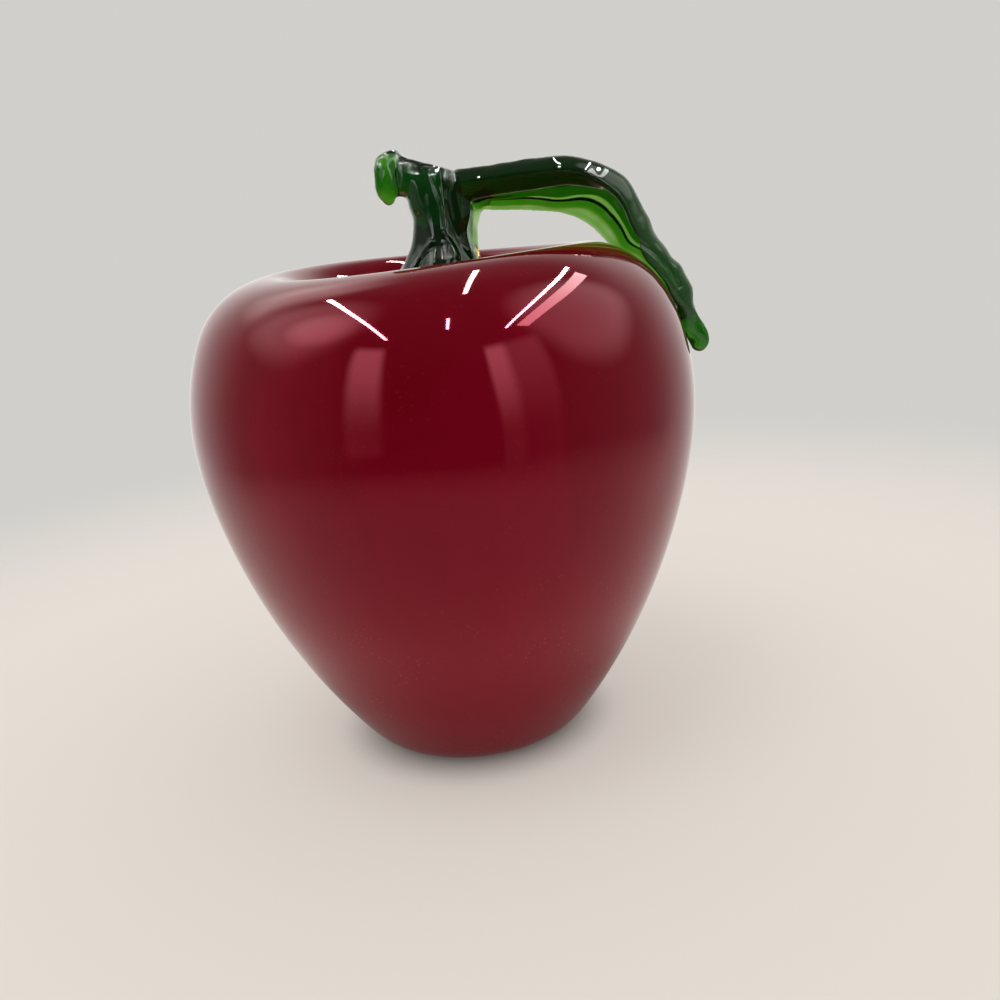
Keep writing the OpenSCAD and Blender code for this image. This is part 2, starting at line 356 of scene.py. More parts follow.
# %% [markdown]
# ## Finishes: sums of patterns
#
# Shader maths reads best as sums. The Value class above wraps one socket, and its operators add the
# Math nodes, so that `1 - mask * 0.5` can be written as it stands. Colours go through Mix nodes.

# %% The board of one material


class Board(Nodes):
    """The node board of one material; its patterns are laid out on the object's own coordinates."""

    def __init__(self, name):
        self.material = bpy.data.materials.new(name)
        self.material.use_nodes = True
        super().__init__(self.material.node_tree)
        self.tree.nodes.clear()
        self.place = self.node("ShaderNodeTexCoord").outputs["Object"]

    def cloud(self, size, detail=2.0, warp=0.0, stretch=(1.0, 1.0, 1.0)):
        """Soft noise from 0 to 1 whose lumps are size metres wide."""
        laid = self.node("ShaderNodeMapping", Vector=self.place, Scale=stretch).outputs[0]
        shape = {"Scale": 1 / size, "Detail": detail, "Distortion": warp}
        made = self.node("ShaderNodeTexNoise", Vector=laid, **shape)
        return Value(self, made.outputs[0])

    def grains(self, size):
        """Distance to the nearest of scattered points, in units of size metres."""
        nearest = {"feature": "F1"}
        made = self.node("ShaderNodeTexVoronoi", nearest, Vector=self.place, Scale=1 / size)
        return Value(self, made.outputs["Distance"])

    def mix(self, share, first, second):
        """The first colour, with a share of the second in its place."""
        made = self.node("ShaderNodeMix", {"data_type": "RGBA"}, i0=share, i6=first, i7=second)
        return made.outputs[2]

    def bump(self, height, depth):
        """Waves of the surface, depth metres deep."""
        return self.node("ShaderNodeBump", Height=height, Distance=depth, Strength=1.0).outputs[0]

    def finish(self, surface, volume=None):
        out = self.node("ShaderNodeOutputMaterial", Surface=surface.outputs[0])
        if volume is not None:
            self.tree.links.new(volume.outputs[0], out.inputs["Volume"])
        return self.material


# %% [markdown]
# ## Red cased glass
#
# The colour lies under a thin clear casing, so the surface is one hard, polished reflection over a
# deep red that has no gloss of its own. An opaque base with a very low roughness does just that.
# What it mirrors when seen face on comes back tinted, because the photograph shows every soft
# reflection in pink; at the rim it stays white. The colour isn't flat: it was rolled on and blown
# out, so it is a little thinner, and brighter, in soft patches drawn out along the flank. Near the
# base the glass is thick and its red is warmer, and the red there is also painted brighter, as
# bounce light from the floor. Most of the fine seeds, the tiny bubbles of the pot, show there as
# pale grains.

# %% Red glass
DEEP_RED = (0.110, 0.0005, 0.0052, 1.0)
THIN_RED = (0.145, 0.0013, 0.0090, 1.0)
BOUNCE_LIT_WARM_RED = (0.215, 0.0040, 0.0125, 1.0)
SEED_RED = (0.36, 0.045, 0.055, 1.0)
FACING_TINT = (1.0, 0.22, 0.31, 1.0)
WAVE_DEPTH = 0.00018  # metres

board = Board("red_cased_glass")
height = board.parts(board.place)[2] * (1 / MM)
patches = board.cloud(0.034, detail=3.0, warp=0.6, stretch=(1.0, 1.0, 0.55))
streaks = board.cloud(0.006, detail=2.0, warp=0.4, stretch=(1.0, 1.0, 0.12))
blown_thin = (patches.over(0.42, 0.72) * 0.6 + streaks.over(0.45, 0.8) * 0.25).clipped()
# near the base: where the seeds gather, and where the red is painted brighter as bounce light
near_base_bounce_lit = (1 - height.over(20.0, 85.0)) * (0.55 + height.over(4.0, 34.0) * 0.45)
seeds = (1 - board.grains(0.0013).over(0.08, 0.22)) * board.cloud(0.011).over(0.46, 0.62)
seeds = seeds * (near_base_bounce_lit * 0.6 + 0.1)
red = board.mix(blown_thin, DEEP_RED, THIN_RED)
# the thick glass's warmer red near the base, also painted brighter there as bounce light from the
# floor
red = board.mix(near_base_bounce_lit * 0.62, red, BOUNCE_LIT_WARM_RED)
red = board.mix(seeds.clipped(), red, SEED_RED)
waves = board.cloud(0.024, detail=1.0)
red_glass = board.finish(
    board.node(
        "ShaderNodeBsdfPrincipled",
        Base_Color=red,
        Roughness=0.03 + seeds * 0.1,
        IOR=1.6,
        Specular_Tint=FACING_TINT,
        Normal=board.bump(waves, WAVE_DEPTH),
    )
)
print("red glass:", len(board.tree.nodes), "nodes")

# %% [markdown]
# ## Green glass
#
# Stem and leaf are solid coloured glass. Their colour isn't on the surface but in the way the light
# takes through them: two millimetres of it are bright green, ten are almost black. So the surface
# is clear glass, and the volume inside swallows a share of each colour per metre. The shares are
# constants on the volume's own sockets. Even the darkest parts show a faint green, so a small share
# of the light is scattered instead; on the leaf that share grows towards the shoulder.

# %% Green glass
GREEN_PASSED = (0.45, 0.77, 0.08, 1.0)
LEAF_LANDS = (40.0, 58.0)  # millimetres right of the axis between which it nears the shoulder
DARKER = 0.92  # the tint of the cords against the glass's own


def green_glass(name, tint, density, cord, depth, glow, share, share_right):
    """Clear glass with its colour inside; share is how much light it scatters, in the glow."""
    board = Board(name)
    right_of_axis = board.parts(board.place)[0] * (1 / MM)
    milky = share + right_of_axis.over(*LEAF_LANDS) * (share_right - share)
    cords = board.cloud(cord, detail=2.0, warp=0.8, stretch=(0.35, 1.0, 1.0))
    darker_tint = tuple(DARKER * v for v in tint[:3]) + (1.0,)
    surface = board.node(
        "ShaderNodeBsdfPrincipled",
        Base_Color=board.mix(cords.over(0.35, 0.7), tint, darker_tint),
        Roughness=0.01 + cords * 0.012,
        IOR=1.5,
        Transmission_Weight=1.0,
        Normal=board.bump(cords, depth),
    )
    scattered = board.node("ShaderNodeBsdfDiffuse", Color=glow)
    both = {"i1": surface.outputs[0], "i2": scattered.outputs[0]}
    inside = board.node("ShaderNodeVolumeAbsorption", Color=GREEN_PASSED, Density=density)
    passed = [round(math.exp(-density * (1 - GREEN_PASSED[1]) * mm * MM), 3) for mm in (2, 10)]
    print(name + ":", passed, "of green light passes 2 and 10 mm")
    return board.finish(board.node("ShaderNodeMixShader", i0=milky, **both), inside)


stem_glass = green_glass(
    "stem_green_glass",
    tint=(0.92, 0.98, 0.90, 1.0),
    density=1350.0,
    cord=0.004,
    depth=0.00006,
    glow=(0.03, 0.17, 0.05, 1.0),
    share=0.07,
    share_right=0.07,
)
leaf_glass = green_glass(
    "leaf_green_glass",
    tint=(0.93, 0.99, 0.90, 1.0),
    density=2350.0,
    cord=0.003,
    depth=0.00004,
    glow=(0.06, 0.36, 0.05, 1.0),
    share=0.04,
    share_right=0.12,
)

# %% Grow the body from its outline
SEGMENTS, RINGS = 289, 301
LIP_LEAN = 2.4 * MM
LEAN_WIDTH = 0.007  # metres either side of the lip's top
LEAN_ABOVE = (0.1, 0.12)  # metres up between which the lean sets in
LEVEL_SHARE = 0.3  # moves the leaning from the back to the front
WELD = 1e-6  # metres

curve = bpy.data.curves.new("apple_outline", "CURVE")
curve.dimensions = "3D"
spline = curve.splines.new("POLY")
spline.points.add(len(outline_r) - 1)
on_outline = np.zeros((len(outline_r), 4))
on_outline[:, 0], on_outline[:, 2], on_outline[:, 3] = outline_r * MM, outline_z * MM, 1.0
spline.points.foreach_set("co", on_outline.ravel())
outline_object = bpy.data.objects.new("apple_outline", curve)
bpy.context.collection.objects.link(outline_object)

turn = Grower(
    "turn_about_axis",
    {
        "Segments": "NodeSocketInt",
        "Rings": "NodeSocketInt",
        "Lip radius": "NodeSocketFloat",
        "Lip lean": "NodeSocketFloat",
        "Glass": "NodeSocketMaterial",
    },
)
grid = turn.node(
    "GeometryNodeMeshGrid",
    Size_X=1.0,
    Size_Y=1.0,
    Vertices_X=turn.inputs["Segments"],
    Vertices_Y=turn.inputs["Rings"],
)
across, along, _ = turn.parts(turn.node("GeometryNodeInputPosition").outputs[0])
angle = (across + 0.25) * (2 * math.pi)
on_curve = turn.node(
    "GeometryNodeSampleCurve",
    {"mode": "FACTOR", "use_all_curves": True},
    Curves=turn.inputs["Geometry"],
    Factor=along + 0.5,
)
radius, _, rise = turn.parts(on_curve.outputs["Position"])
cosine, sine = turn.math("COSINE", angle), turn.math("SINE", angle)
off_lip = (radius - turn.number("Lip radius")) / LEAN_WIDTH
near_lip = turn.math("EXPONENT", off_lip * off_lip * -0.5) * rise.over(*LEAN_ABOVE)
frontness = (1 - sine) * 0.5
lean = near_lip * turn.number("Lip lean") * (frontness - LEVEL_SHARE) * cosine
target = {"X": radius * cosine, "Y": radius * sine, "Z": rise + lean}
moved = turn.node("ShaderNodeCombineXYZ", **target).outputs[0]
laid = turn.node("GeometryNodeSetPosition", Geometry=grid.outputs["Mesh"], Position=moved)
welded = turn.node("GeometryNodeMergeByDistance", Geometry=laid.outputs[0], Distance=WELD)
smooth = turn.node("GeometryNodeSetShadeSmooth", Geometry=welded.outputs[0])
turn.finish(smooth.outputs[0], turn.inputs["Glass"])

body = grow(
    outline_object,
    turn,
    {
        "Segments": SEGMENTS,
        "Rings": RINGS,
        "Lip radius": float(r_top * MM),
        "Lip lean": LIP_LEAN,
        "Glass": red_glass,
    },
    "apple_body",
)


def volume(mesh):
    """Cubic millimetres inside a closed mesh; negative when its faces point inwards."""
    mesh.calc_loop_triangles()
    co = np.empty(len(mesh.vertices) * 3)
    mesh.vertices.foreach_get("co", co)
    tri = np.empty(len(mesh.loop_triangles) * 3, dtype=np.int32)
    mesh.loop_triangles.foreach_get("vertices", tri)
    p = co.reshape(-1, 3)[tri.reshape(-1, 3)] / MM
    return float(np.einsum("ij,ij->i", p[:, 0], np.cross(p[:, 1], p[:, 2])).sum() / 6)


if volume(body.data) < 0:
    body.data.flip_normals()
print("body:", len(body.data.polygons), "faces,", round(volume(body.data) / 1000, 1), "ml")

# %% [markdown]
# ## Drawn glass: lofts that fuse
#
# Stem and leaf were pulled out of hot gathers and pressed together while soft, so one runs into
# the other with soft hollows and no edges, apart from the fine crease where they met. That is how
# they are made here too. Each gather starts as a few lofts: a closed round at each station, a
# smooth run from station to station, and one skin over them. A voxel remesh then melts all of them
# into one skin, a few rounds of smoothing fill the corners, and the small folds and shear marks are
# pressed in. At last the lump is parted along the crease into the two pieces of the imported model.

# %% Smooth runs and closed skins


def smooth_rows(rows, steps):
    """A Catmull-Rom run through rows of numbers."""
    rows = np.asarray(rows, dtype=float)
    last = len(rows) - 1
    out = []
    for i in range(last):
        a, b, c, d = rows[max(i - 1, 0)], rows[i], rows[i + 1], rows[min(i + 2, last)]
        for t in np.arange(steps) / steps:
            bend = 2 * a - 5 * b + 4 * c - d
            out.append(0.5 * (2 * b + (c - a) * t + bend * t**2 + (3 * b - a - 3 * c + d) * t**3))
    out.append(rows[last])
    return np.array(out)


def ease(x, low, high):
    t = np.clip((x - low) / (high - low), 0.0, 1.0)
    return t * t * (3 - 2 * t)


def hump(off, width):
    """1 at no distance, falling off smoothly over the width."""
    return np.exp(-((off / width) ** 2))


def closed_skin(name, rings):
    """A closed mesh over rings of points in millimetres, its ends closed by fans."""
    count, n = rings.shape[:2]
    caps = np.array([rings[0].mean(axis=0), rings[-1].mean(axis=0)])
    points = np.concatenate([rings.reshape(-1, 3), caps]) * MM
    k = np.arange(n)
    turn_on = (k + 1) % n
    faces = []
    for i in range(count - 1):
        a, b = i * n + k, i * n + turn_on
        faces += np.stack([a, b, b + n, a + n], axis=1).tolist()
    start, end, last = count * n, count * n + 1, (count - 1) * n
    faces += [(start, int(b), int(a)) for a, b in zip(k, turn_on)]
    faces += [(end, int(last + a), int(last + b)) for a, b in zip(k, turn_on)]
    mesh = bpy.data.meshes.new(name)
    mesh.from_pydata(points.tolist(), [], faces)
    if volume(mesh) < 0:
        mesh.flip_normals()
    made = bpy.data.objects.new(name, mesh)
    bpy.context.collection.objects.link(made)
    return made


# %% [markdown]
# ## Stem
#
# The stem is one gather. Its foot was pressed into the dimple over the blow hole, and creases run
# up from it between soft lobes. The post narrows to a neck, bends to the left and ends in a spur
# that was nipped flat and cut off with shears while hot: that left a rounded head, thin from front
# to back, with a drop at its lower side. Each station is a round given by its middle, its turn,
# its half width and half depth, and the depth of the creases.

# %% Stem sizes and stations, in millimetres
POST_X, POST_R, FOOT_R, SEAM_X = 3.0, 6.2, 17.0, 5.0
NECK_Z, SPUR_Z, SPUR_R, SPUR_NECK_R = BODY_H + 9.0, BODY_H + 20.8, 6.2, 4.9
LOBES, LOBE_DEPTH = 5, 1.3
SUNK = 0.3  # how far the fused foot reaches under the skin, so that no gap shows
FOOT_Z = dimple_z(FOOT_R)
LEDGE_Z = FOOT_Z + 4.0

# each row: x and z of the middle, turn in degrees, half width, half depth, share of the creases
stem_stations = [[0, dimple_z(r) - SUNK, 0, r, r, 0] for r in (0.6, 4.0, 8.0, 12.0, 15.0)]
stem_stations += [
    [0, FOOT_Z - SUNK, 0, FOOT_R, FOOT_R, 0],
    [0.1, FOOT_Z + 0.9, 0, FOOT_R + 0.2, FOOT_R + 0.2, 0.1],
    [0.3, LEDGE_Z - 1.6, 0, FOOT_R - 0.8, FOOT_R - 0.8, 0.4],
    [0.6, LEDGE_Z, 0, FOOT_R - 2.4, FOOT_R - 2.4, 0.8],
    [1.8, BODY_H - 7, 0, POST_R + 6.2, POST_R + 6.4, 1],
    [2.7, BODY_H - 1.6, 0, POST_R + 3.8, POST_R + 4.2, 1],
    [3.0, BODY_H + 3.4, 0, POST_R + 1.3, POST_R + 1.7, 0.6],
    [3.0, NECK_Z, 0, POST_R, POST_R, 0.1],
    [2.2, SPUR_Z - 6.8, 20, POST_R + 0.1, POST_R, 0],
    [0.2, SPUR_Z - 3.4, 45, POST_R - 0.3, POST_R - 0.6, 0],
    [-2.1, SPUR_Z - 1.5, 64, POST_R - 1.4, POST_R - 1.4, 0],
    [-4.4, SPUR_Z - 0.5, 76, SPUR_NECK_R - 0.1, SPUR_NECK_R - 0.4, 0],
    [-6.8, SPUR_Z, 82, SPUR_R, 2.9, 0],
    [-8.9, SPUR_Z - 0.1, 86, SPUR_R - 0.2, 2.5, 0],
    [-10.5, SPUR_Z - 0.2, 86, SPUR_R - 1.3, 2.9, 0],
    [-11.2, SPUR_Z - 0.3, 86, SPUR_R - 2.8, 2.3, 0],
    [-11.4, SPUR_Z - 0.3, 86, 1.2, 1.1, 0],
]
saddle_stations = [  # x, z, half height, half depth
    [-2.6, BODY_H + 19.6, 1.0, 1.2],
    [-2.0, BODY_H + 19.4, 2.6, 3.0],
    [0.5, BODY_H + 19.2, 3.7, 5.0],
    [3.5, BODY_H + 18.8, 3.7, 5.4],
    [6.5, BODY_H + 17.9, 3.6, 5.2],
    [9.0, BODY_H + 17.4, 2.8, 4.0],
    [10.0, BODY_H + 17.2, 0.8, 1.0],
]

# %% Loft the stem


def loft_stem():
    rows = smooth_rows(stem_stations, 9)
    u = np.linspace(0, 2 * np.pi, 144, endpoint=False)
    crease = np.abs(np.cos(LOBES * (u - np.pi / 2) / 2)) - 1
    rings = []
    for mx, mz, turned, wide, deep, share in rows:
        dent = share * LOBE_DEPTH * crease
        out, y = (wide + dent) * np.cos(u), -(deep + dent) * np.sin(u)
        rings.append(np.stack([mx + out * cos(turned), y, mz + out * sin(turned)], axis=1))
    return closed_skin("stem_loft", np.array(rings))


def loft_saddle():
    """The mass across the top, where head, post and leaf run together."""
    u = np.linspace(0, 2 * np.pi, 64, endpoint=False)
    rings = []
    for x, z, high, deep in smooth_rows(saddle_stations, 8):
        rings.append(np.stack([x + 0 * u, deep * np.cos(u), z + high * np.sin(u)], axis=1))
    return closed_skin("saddle_loft", np.array(rings))


stem_lofts = [loft_stem(), loft_saddle()]

# %% [markdown]
# ## Leaf
#
# The leaf is a second gather, laid on hot. Its root climbs the right half of the post, then it
# arches over the dimple as a thick rolled rib along the front edge with a thin blade behind it,
# and comes down on the shoulder, where it was crimped across and drawn out to a rounded tip. Three
# rails guide it: the front edge, the crest and the rear edge. Each station gives a point on every
# rail and the half thicknesses of rib and blade. Lengthwise folds, thick and dark, stand between
# thin bright webs in the blade, and a thin fin runs down behind the post where the edge was pulled.

# %% Leaf sizes, in millimetres
ARCH_Z = BODY_H + 22.0 - 3.9
HALF_W, LEAF_Y = 11.5, 1.5
RIB, BLADE, TIP = 3.9, 0.5, 2.7
CREST_H, EDGE_H, TIP_A = 5.5, 0.55, 7.0
CRIMPS, CRIMP_H = 4, 0.3
ROOT_Y, ROOT_BLADE = 0.6, 0.6
# across the leaf, from -1 at the front edge to 1 at the rear edge: heights, places and widths
RIB_AT, RIB_WIDTH = -0.58, 0.45
FOLD_H, FOLD_AT, FOLD_WIDTH = 1.8, 0.3, 0.12
REAR_FOLD_H, REAR_FOLD_AT, REAR_FOLD_WIDTH = 0.9, 0.72, 0.08
BEAD_H, BEAD_AT, BEAD_WIDTH = 0.4, 0.93, 0.05
WEB_DIP = 0.12  # how much thinner the webs between the folds are


def over_skin(a, h, y):
    """A point over the skin: normal angle a, height h, distance y from the middle plane."""
    if a > SHOULDER_A:
        r, z = shoulder_c + polar(SHOULDER_R + h, a)
    else:
        r, z = high_belly_c + polar(HIGH_BELLY_R + h, a)
    return [math.sqrt(r**2 - y**2), y, z]


span = (shoulder_c + polar(SHOULDER_R + CREST_H, 60))[0] - POST_X


def root(z, front, crest, rear, depth, thick):
    """On the post: the rails' distances from it, at height z."""
    return [
        [POST_X + front, -depth, z],
        [POST_X + crest, ROOT_Y, z],
        [POST_X + rear, depth + 2, z],
        [thick, ROOT_BLADE, 0],
    ]


def turning(front, crest, rear, thick, folds):
    """Between post and arch: each rail's distance from the post, its y and its drop."""
    rails = [[POST_X + x, y, ARCH_Z - drop] for x, y, drop in (front, crest, rear)]
    return rails + [[thick, BLADE, folds]]


def arch(along, drops, width, thick):
    """Over the dimple: how far along the span, and how far each rail drops."""
    x = POST_X + along * span
    return [
        [x, LEAF_Y - HALF_W * width, ARCH_Z - drops[0]],
        [x + 0.5, LEAF_Y, ARCH_Z - drops[1]],
        [x, LEAF_Y + HALF_W * width, ARCH_Z - drops[2]],
        [thick, BLADE, 1],
    ]


def landing(a, heights, width, thick, middle, folds=1.0):
    """On the shoulder: the heights of the rails over the skin at normal angle a."""
    return [
        over_skin(a, heights[0], LEAF_Y - HALF_W * width),
        over_skin(a, heights[1], LEAF_Y),
        over_skin(a, heights[2], LEAF_Y + HALF_W * width),
        [thick, middle, folds],
    ]


# %% Leaf stations
leaf_stations = [
    root(LEDGE_Z + 0.05, 5, 8, 10.5, 6.5, 4.4),
    root(BODY_H - 1.6, 3.6, 6.4, 9.6, 5.4, 3.7),
    root(NECK_Z - 4, 3.2, 6, 9.2, 4.8, 3.3),
    root(ARCH_Z - 7.8, 3.6, 6.6, 10.0, 5.4, 3.9),
    turning((4.6, -6.2, 1.2), (7.2, 0.9, 3.2), (10.8, 8, 7.6), 4.3, 0.5),
    turning((8.8, -7.4, 0.6), (10.4, 1.2, 2.7), (12.4, 9.6, 7.8), 4.1, 1),
    arch(0.29, [0.3, 2.3, 7.8], 0.8, RIB),
    arch(0.51, [0, 1.9, 9], 0.94, RIB),
    arch(0.70, [0.8, 2.2, 10.9], 1, RIB - 0.3),
    landing(74, [CREST_H + 6.7, CREST_H + 9, CREST_H - 1], 1, RIB - 1, BLADE),
    landing(62, [CREST_H + 0.2, CREST_H + 4, EDGE_H + 0.9], 0.98, 2.5, BLADE),
    landing(50, [EDGE_H + 0.6, CREST_H + 1.2, EDGE_H], 0.92, 2.1, BLADE, 0.75),
    landing(39, [EDGE_H, CREST_H + 0.3, EDGE_H], 0.82, 1.9, BLADE, 0.6),
    landing(29, [EDGE_H, CREST_H + 0.7, EDGE_H], 0.67, 1.8, BLADE + 0.3, 0.5),
    landing(22, [EDGE_H, CREST_H + 0.5, EDGE_H], 0.5, 1.9, BLADE + 0.7, 0.3),
    landing(18.5, [EDGE_H + 1.1, CREST_H - 1.6, EDGE_H + 1.1], 0.34, TIP - 0.4, TIP - 0.4, 0),
    landing(15, [TIP + 0.6, TIP + 0.9, TIP + 0.6], 0.19, TIP - 0.1, TIP - 0.1, 0),
    landing(TIP_A + 3, [TIP + 1.8, TIP + 2.1, TIP + 1.8], 0.13, TIP + 0.1, TIP + 0.1, 0),
    landing(TIP_A + 0.4, [TIP + 2.0, TIP + 2.2, TIP + 2.0], 0.11, TIP - 0.6, TIP - 0.6, 0),
    landing(TIP_A - 0.7, [TIP + 2.2, TIP + 2.3, TIP + 2.2], 0.05, 0.6, 0.6, 0),
]
FIRST_LANDING, CRIMPED = 9, 5  # the crimps begin at this station and run over so many

# %% Loft the leaf


def loft_leaf():
    steps = 12
    stations = np.array([np.ravel(s) for s in leaf_stations])
    rows = smooth_rows(stations, steps).reshape(-1, 4, 3)
    around = 160
    k = np.arange(around)
    side = np.where(k < around // 2, 1.0, -1.0)
    v = -np.cos(2 * np.pi * k / around)
    way = np.gradient(rows[:, 1], axis=0)
    rings = []
    for i, row in enumerate(rows):
        front, middle, rear, (rib, blade, folds) = row
        place = i / steps
        wander = 0.07 * math.sin(place * 1.9) + 0.04 * math.sin(place * 4.3)
        bell = hump(v - RIB_AT, RIB_WIDTH)
        fold = FOLD_H * hump(v - FOLD_AT - wander, FOLD_WIDTH)
        fold += REAR_FOLD_H * hump(v - REAR_FOLD_AT - 0.7 * wander, REAR_FOLD_WIDTH)
        bead = BEAD_H * hump(v - BEAD_AT, BEAD_WIDTH)
        half = blade + folds * (fold - WEB_DIP + bead) + (rib - blade) * bell
        half *= np.sqrt(np.maximum(0, 1 - v**6))
        # a parabola through the three rails, and the way across it
        mid = np.outer(v * (v - 1) / 2, front) + np.outer(1 - v * v, middle)
        mid += np.outer(v * (v + 1) / 2, rear)
        across = np.outer(v - 0.5, front) - np.outer(2 * v, middle) + np.outer(v + 0.5, rear)
        up = np.cross(way[i], across)
        up /= np.linalg.norm(up, axis=1, keepdims=True)
        share = (place - FIRST_LANDING) / CRIMPED
        press = 0.0
        if 0 <= share <= 1:
            press = 0.5 * CRIMP_H * (np.cos(2 * np.pi * CRIMPS * share) - 1)
        rings.append(mid + up * (side * half + press * (1 - v * v))[:, None])
    return closed_skin("leaf_loft", np.array(rings))


# %% The fin behind the post
FIN_ALONG, FIN_ASIDE = 0.85, 0.5  # which way its width lies
fin_stations = [  # x, y, z, half width, half thickness
    [12.4, 7.0, LEDGE_Z - 0.5, 2.6, 0.7],
    [12.0, 7.4, BODY_H - 4.0, 2.3, 0.5],
    [11.6, 7.6, BODY_H + 3.0, 2.2, 0.45],
    [12.2, 7.8, BODY_H + 8.0, 2.5, 0.45],
    [13.6, 8.2, BODY_H + 12.0, 3.2, 0.5],
    [16.4, 8.6, BODY_H + 14.6, 3.8, 0.6],
]


def loft_fin():
    u = np.linspace(0, 2 * np.pi, 48, endpoint=False)
    rings = []
    for x, y, z, wide, thin in smooth_rows(fin_stations, 8):
        out_x = x + wide * np.cos(u) * FIN_ALONG - thin * np.sin(u) * FIN_ASIDE
        out_y = y + wide * np.cos(u) * FIN_ASIDE + thin * np.sin(u) * FIN_ALONG
        rings.append(np.stack([out_x, out_y, z + 0 * u], axis=1))
    return closed_skin("fin_loft", np.array(rings))


leaf_lofts = [loft_leaf(), loft_fin()]

# %% Melt the lofts into one skin
VOXEL = 0.3  # millimetres


def melt(lofts, name):
    """One closed skin around several overlapping closed meshes."""
    points, faces = [], []
    for loft in lofts:
        offset = len(points)
        points += [v.co[:] for v in loft.data.vertices]
        faces += [[offset + k for k in p.vertices] for p in loft.data.polygons]
        bpy.data.objects.remove(loft)
    lump = bpy.data.meshes.new(name)
    lump.from_pydata(points, [], faces)
    whole = bpy.data.objects.new(name, lump)
    bpy.context.collection.objects.link(whole)
    remesh = whole.modifiers.new("melt", "REMESH")
    remesh.mode = "VOXEL"
    remesh.voxel_size = VOXEL * MM
    melted = plain_copy(whole, name)
    bpy.data.objects.remove(whole)
    return melted


lump = melt(stem_lofts + leaf_lofts, "green_lump")
co = np.empty(len(lump.data.vertices) * 3)
lump.data.vertices.foreach_get("co", co)
co = co.reshape(-1, 3) / MM
edges = np.empty(len(lump.data.edges) * 2, dtype=np.int32)
lump.data.edges.foreach_get("vertices", edges)
edges = edges.reshape(-1, 2)
print("lump:", len(co), "points,", round(volume(lump.data) / 1000, 2), "ml")

# %% Smooth it, with the shrinking put back
ROUNDS, INWARDS, OUTWARDS = 18, 0.6, 0.558
LAST_ROUNDS, LAST_INWARDS = 3, 0.5
degree = np.bincount(edges.ravel(), minlength=len(co))


def mean_of_neighbours(field):
    total = np.zeros_like(field)
    for here, there in (edges.T, edges.T[::-1]):
        for axis in range(field.shape[1]):
            total[:, axis] += np.bincount(here, field[there, axis], len(field))
    return total / degree[:, None]


for _ in range(ROUNDS):
    co += INWARDS * (mean_of_neighbours(co) - co)
    co -= OUTWARDS * (mean_of_neighbours(co) - co)
for _ in range(LAST_ROUNDS):
    co += LAST_INWARDS * (mean_of_neighbours(co) - co)

# %% [markdown]
# ## Folds and shear marks
#
# Hot glass keeps a record of each tool. The marks are soft dents and ridges, pushed along the
# skin's own normal. Some run along lines, drawn as they are seen from the front: the crease where
# the leaf met the post, two folds of the foot, the edge of the nipped head and the groove of the
# leaf. Some are spots on the head. Puckers on the saddle and a faint unevenness over all of it
# come from noise.

# %% Press the marks in


def normals_of(mesh):
    out = np.empty(len(mesh.vertices) * 3)
    mesh.vertices.foreach_get("normal", out)
    return out.reshape(-1, 3)


def near_line(points, line, width):
    """1 on a line through some points, falling off smoothly over the width."""
    best = np.full(len(points), 1e9)
    for a, b in zip(line[:-1], line[1:]):
        a, b = np.array(a), np.array(b)
        t = np.clip(((points - a) @ (b - a)) / ((b - a) @ (b - a)), 0, 1)
        best = np.minimum(best, np.linalg.norm(points - a - t[:, None] * (b - a), axis=1))
    return hump(best, width)


def unevenness(points, size, seed):
    """Smooth noise between -1 and 1 for each point, given in millimetres."""
    at = Vector((seed, seed, seed))
    return np.array([noise.noise(Vector(p) / size + at) for p in points])


lump.data.vertices.foreach_set("co", (co * MM).ravel())
outwards = normals_of(lump.data)
x, y, z = co.T
from_front = co[:, [0, 2]]
front_of_post = ease(-y, 1.5, 4.0) * ease(-x, -9.5, -8.5)
front_of_leaf = ease(-y, -0.5, 2.5) * ease(x, 36.0, 42.0)
both_sides = ease(np.abs(y), 0.8, 1.6)
push = np.zeros(len(co))

GROOVE_H = 3.4  # millimetres over the skin
groove = [(r, up) for r, _, up in (over_skin(a, GROOVE_H, LEAF_Y) for a in (76, 62, 48, 35, 24))]
lines = (  # push in millimetres, width, where it shows, and the line's points in x and z
    (-0.32, 0.55, front_of_post, [(2.6, 148.6), (3.6, 144.6), (4.6, 140.9), (4.9, 134), (5, 126)]),
    (-0.32, 0.55, front_of_post, [(7.6, 149.4), (6.2, 145.0), (4.6, 140.9)]),
    (0.6, 0.6, front_of_post, [(1.2, 132.5), (-1.6, 129.6), (-4.4, 126.4)]),
    (0.6, 0.6, front_of_post, [(4.4, 134.4), (5.4, 131.6), (6.6, 128.6)]),
    (-0.35, 0.6, 1.0, [(-4.6, 153.6), (-5.6, 149.5), (-5.7, 145.5), (-6.4, 143.6)]),
    (-0.6, 0.8, front_of_leaf, groove),
)
for height, width, where, line in lines:
    push += height * near_line(from_front, line, width) * where

drop_below = hump(x + 8.5, 1.3) * hump(y, 1.8) * ease(-z, -145.5, -143.0)
nip = hump(x + 8.2, 1.7) * hump(z - 151.2, 2.0) * both_sides
ridge = hump(x + 8.6, 2.2) * hump(z - 148.0, 1.3) * both_sides
push += 0.9 * drop_below - 0.5 * nip + 0.15 * ridge

saddle = ease(z, 148.6, 150.6) * ease(x, -5.5, -3.5) * ease(-x, -8.0, -6.0)
puckers = np.abs(unevenness(co * [1.0, 0.55, 1.0], 1.3, 2.2))
push += saddle * (0.42 * puckers - 0.15)

